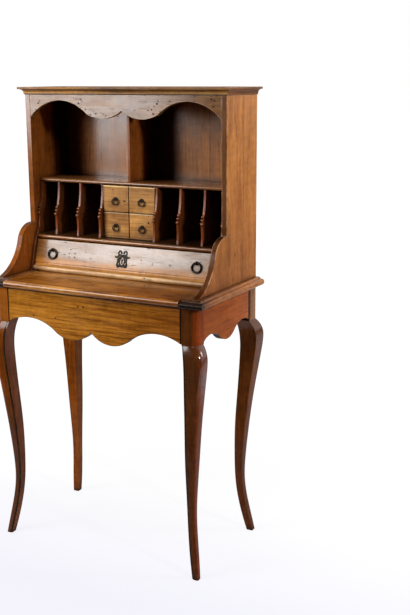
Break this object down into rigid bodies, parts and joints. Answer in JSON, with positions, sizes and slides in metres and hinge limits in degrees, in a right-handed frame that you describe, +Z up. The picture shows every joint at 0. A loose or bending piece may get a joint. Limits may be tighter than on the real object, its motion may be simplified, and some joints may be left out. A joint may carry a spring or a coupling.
{
  "type": "bonheur du jour",
  "caption": "Small fruitwood writing desk on cabriole legs, with a sliding writing leaf, a scalloped frieze drawer and an upper case of drawers and pigeonholes.",
  "frame": {"origin": "on the floor under the middle of the desk", "axes": "+X to the right of a seated writer, +Y to the back, +Z up"},
  "size_m": [0.686, 0.386, 1.275],
  "materials": {
    "fruitwood": "polished",
    "secondary_wood": "matte",
    "dark_bronze": "patinated",
    "lock_iron": "dull"
  },
  "bodies": {
    "cabinet": {"leg_front_left": "fruitwood", "leg_front_right": "fruitwood", "leg_rear_left": "fruitwood", "leg_rear_right": "fruitwood", "side_apron_left": "fruitwood", "side_apron_right": "fruitwood", "rear_apron": "fruitwood", "front_top_rail": "fruitwood", "drawer_runners": "secondary_wood", "table_rail_left": "fruitwood", "table_rail_right": "fruitwood", "table_rail_rear": "fruitwood", "gradin_base_board": "fruitwood", "side_panel_left": "fruitwood", "side_panel_right": "fruitwood", "lining_left": "fruitwood", "lining_right": "fruitwood", "pigeonhole_floor": "fruitwood", "shelf": "fruitwood", "centre_divider": "fruitwood", "pigeonhole_divider_1": "fruitwood", "pigeonhole_divider_2": "fruitwood", "pigeonhole_divider_3": "fruitwood", "pigeonhole_divider_4": "fruitwood", "pigeonhole_divider_5": "fruitwood", "pigeonhole_divider_6": "fruitwood", "nest_partition": "fruitwood", "nest_shelf": "fruitwood", "pelmet": "fruitwood", "top_board": "fruitwood", "cornice_front": "fruitwood", "cornice_left": "fruitwood", "cornice_right": "fruitwood", "back_planks": "secondary_wood"},
    "frieze_drawer": {"frieze_drawer_front": "fruitwood", "frieze_drawer_tray": "secondary_wood"},
    "writing_leaf": {"writing_leaf": "fruitwood"},
    "wide_drawer": {"wide_drawer_front": "fruitwood", "wide_drawer_tray": "secondary_wood", "escutcheon": "dark_bronze", "drawer_lock": "lock_iron", "wide_pull_eyes": "dark_bronze"},
    "wide_ring_left": {"wide_ring_left": "dark_bronze"},
    "wide_ring_right": {"wide_ring_right": "dark_bronze"},
    "small_drawer_1": {"small_drawer_1_front": "fruitwood", "small_drawer_1_tray": "secondary_wood", "small_drawer_1_eye": "dark_bronze"},
    "small_ring_1": {"small_drawer_1_ring": "dark_bronze"},
    "small_drawer_2": {"small_drawer_2_front": "fruitwood", "small_drawer_2_tray": "secondary_wood", "small_drawer_2_eye": "dark_bronze"},
    "small_ring_2": {"small_drawer_2_ring": "dark_bronze"},
    "small_drawer_3": {"small_drawer_3_front": "fruitwood", "small_drawer_3_tray": "secondary_wood", "small_drawer_3_eye": "dark_bronze"},
    "small_ring_3": {"small_drawer_3_ring": "dark_bronze"},
    "small_drawer_4": {"small_drawer_4_front": "fruitwood", "small_drawer_4_tray": "secondary_wood", "small_drawer_4_eye": "dark_bronze"},
    "small_ring_4": {"small_drawer_4_ring": "dark_bronze"}
  },
  "joints": [
    {"name": "frieze_drawer_slide", "type": "slide", "parent": "cabinet", "child": "frieze_drawer", "axis": [0, -1, 0], "range_m": [0, 0.2]},
    {"name": "writing_leaf_slide", "type": "slide", "parent": "cabinet", "child": "writing_leaf", "axis": [0, -1, 0], "range_m": [0, 0.14]},
    {"name": "wide_drawer_slide", "type": "slide", "parent": "cabinet", "child": "wide_drawer", "axis": [0, -1, 0], "range_m": [0, 0.11]},
    {"name": "small_drawer_1_slide", "type": "slide", "parent": "cabinet", "child": "small_drawer_1", "axis": [0, -1, 0], "range_m": [0, 0.09]},
    {"name": "small_drawer_2_slide", "type": "slide", "parent": "cabinet", "child": "small_drawer_2", "axis": [0, -1, 0], "range_m": [0, 0.09]},
    {"name": "small_drawer_3_slide", "type": "slide", "parent": "cabinet", "child": "small_drawer_3", "axis": [0, -1, 0], "range_m": [0, 0.09]},
    {"name": "small_drawer_4_slide", "type": "slide", "parent": "cabinet", "child": "small_drawer_4", "axis": [0, -1, 0], "range_m": [0, 0.09]},
    {"name": "wide_ring_left_hinge", "type": "hinge", "parent": "wide_drawer", "child": "wide_ring_left", "pos_m": [-0.2335, -0.01694, 0.82235], "axis": [-1, 0, 0], "range_deg": [0, 90]},
    {"name": "wide_ring_right_hinge", "type": "hinge", "parent": "wide_drawer", "child": "wide_ring_right", "pos_m": [0.2335, -0.01694, 0.82235], "axis": [-1, 0, 0], "range_deg": [0, 90]},
    {"name": "small_ring_1_hinge", "type": "hinge", "parent": "small_drawer_1", "child": "small_ring_1", "pos_m": [-0.04225, 0.0209, 0.97355], "axis": [-1, 0, 0], "range_deg": [0, 90]},
    {"name": "small_ring_2_hinge", "type": "hinge", "parent": "small_drawer_2", "child": "small_ring_2", "pos_m": [0.04225, 0.0209, 0.97355], "axis": [-1, 0, 0], "range_deg": [0, 90]},
    {"name": "small_ring_3_hinge", "type": "hinge", "parent": "small_drawer_3", "child": "small_ring_3", "pos_m": [-0.04225, 0.0209, 0.8998], "axis": [-1, 0, 0], "range_deg": [0, 90]},
    {"name": "small_ring_4_hinge", "type": "hinge", "parent": "small_drawer_4", "child": "small_ring_4", "pos_m": [0.04225, 0.0209, 0.8998], "axis": [-1, 0, 0], "range_deg": [0, 90]}
  ]
}
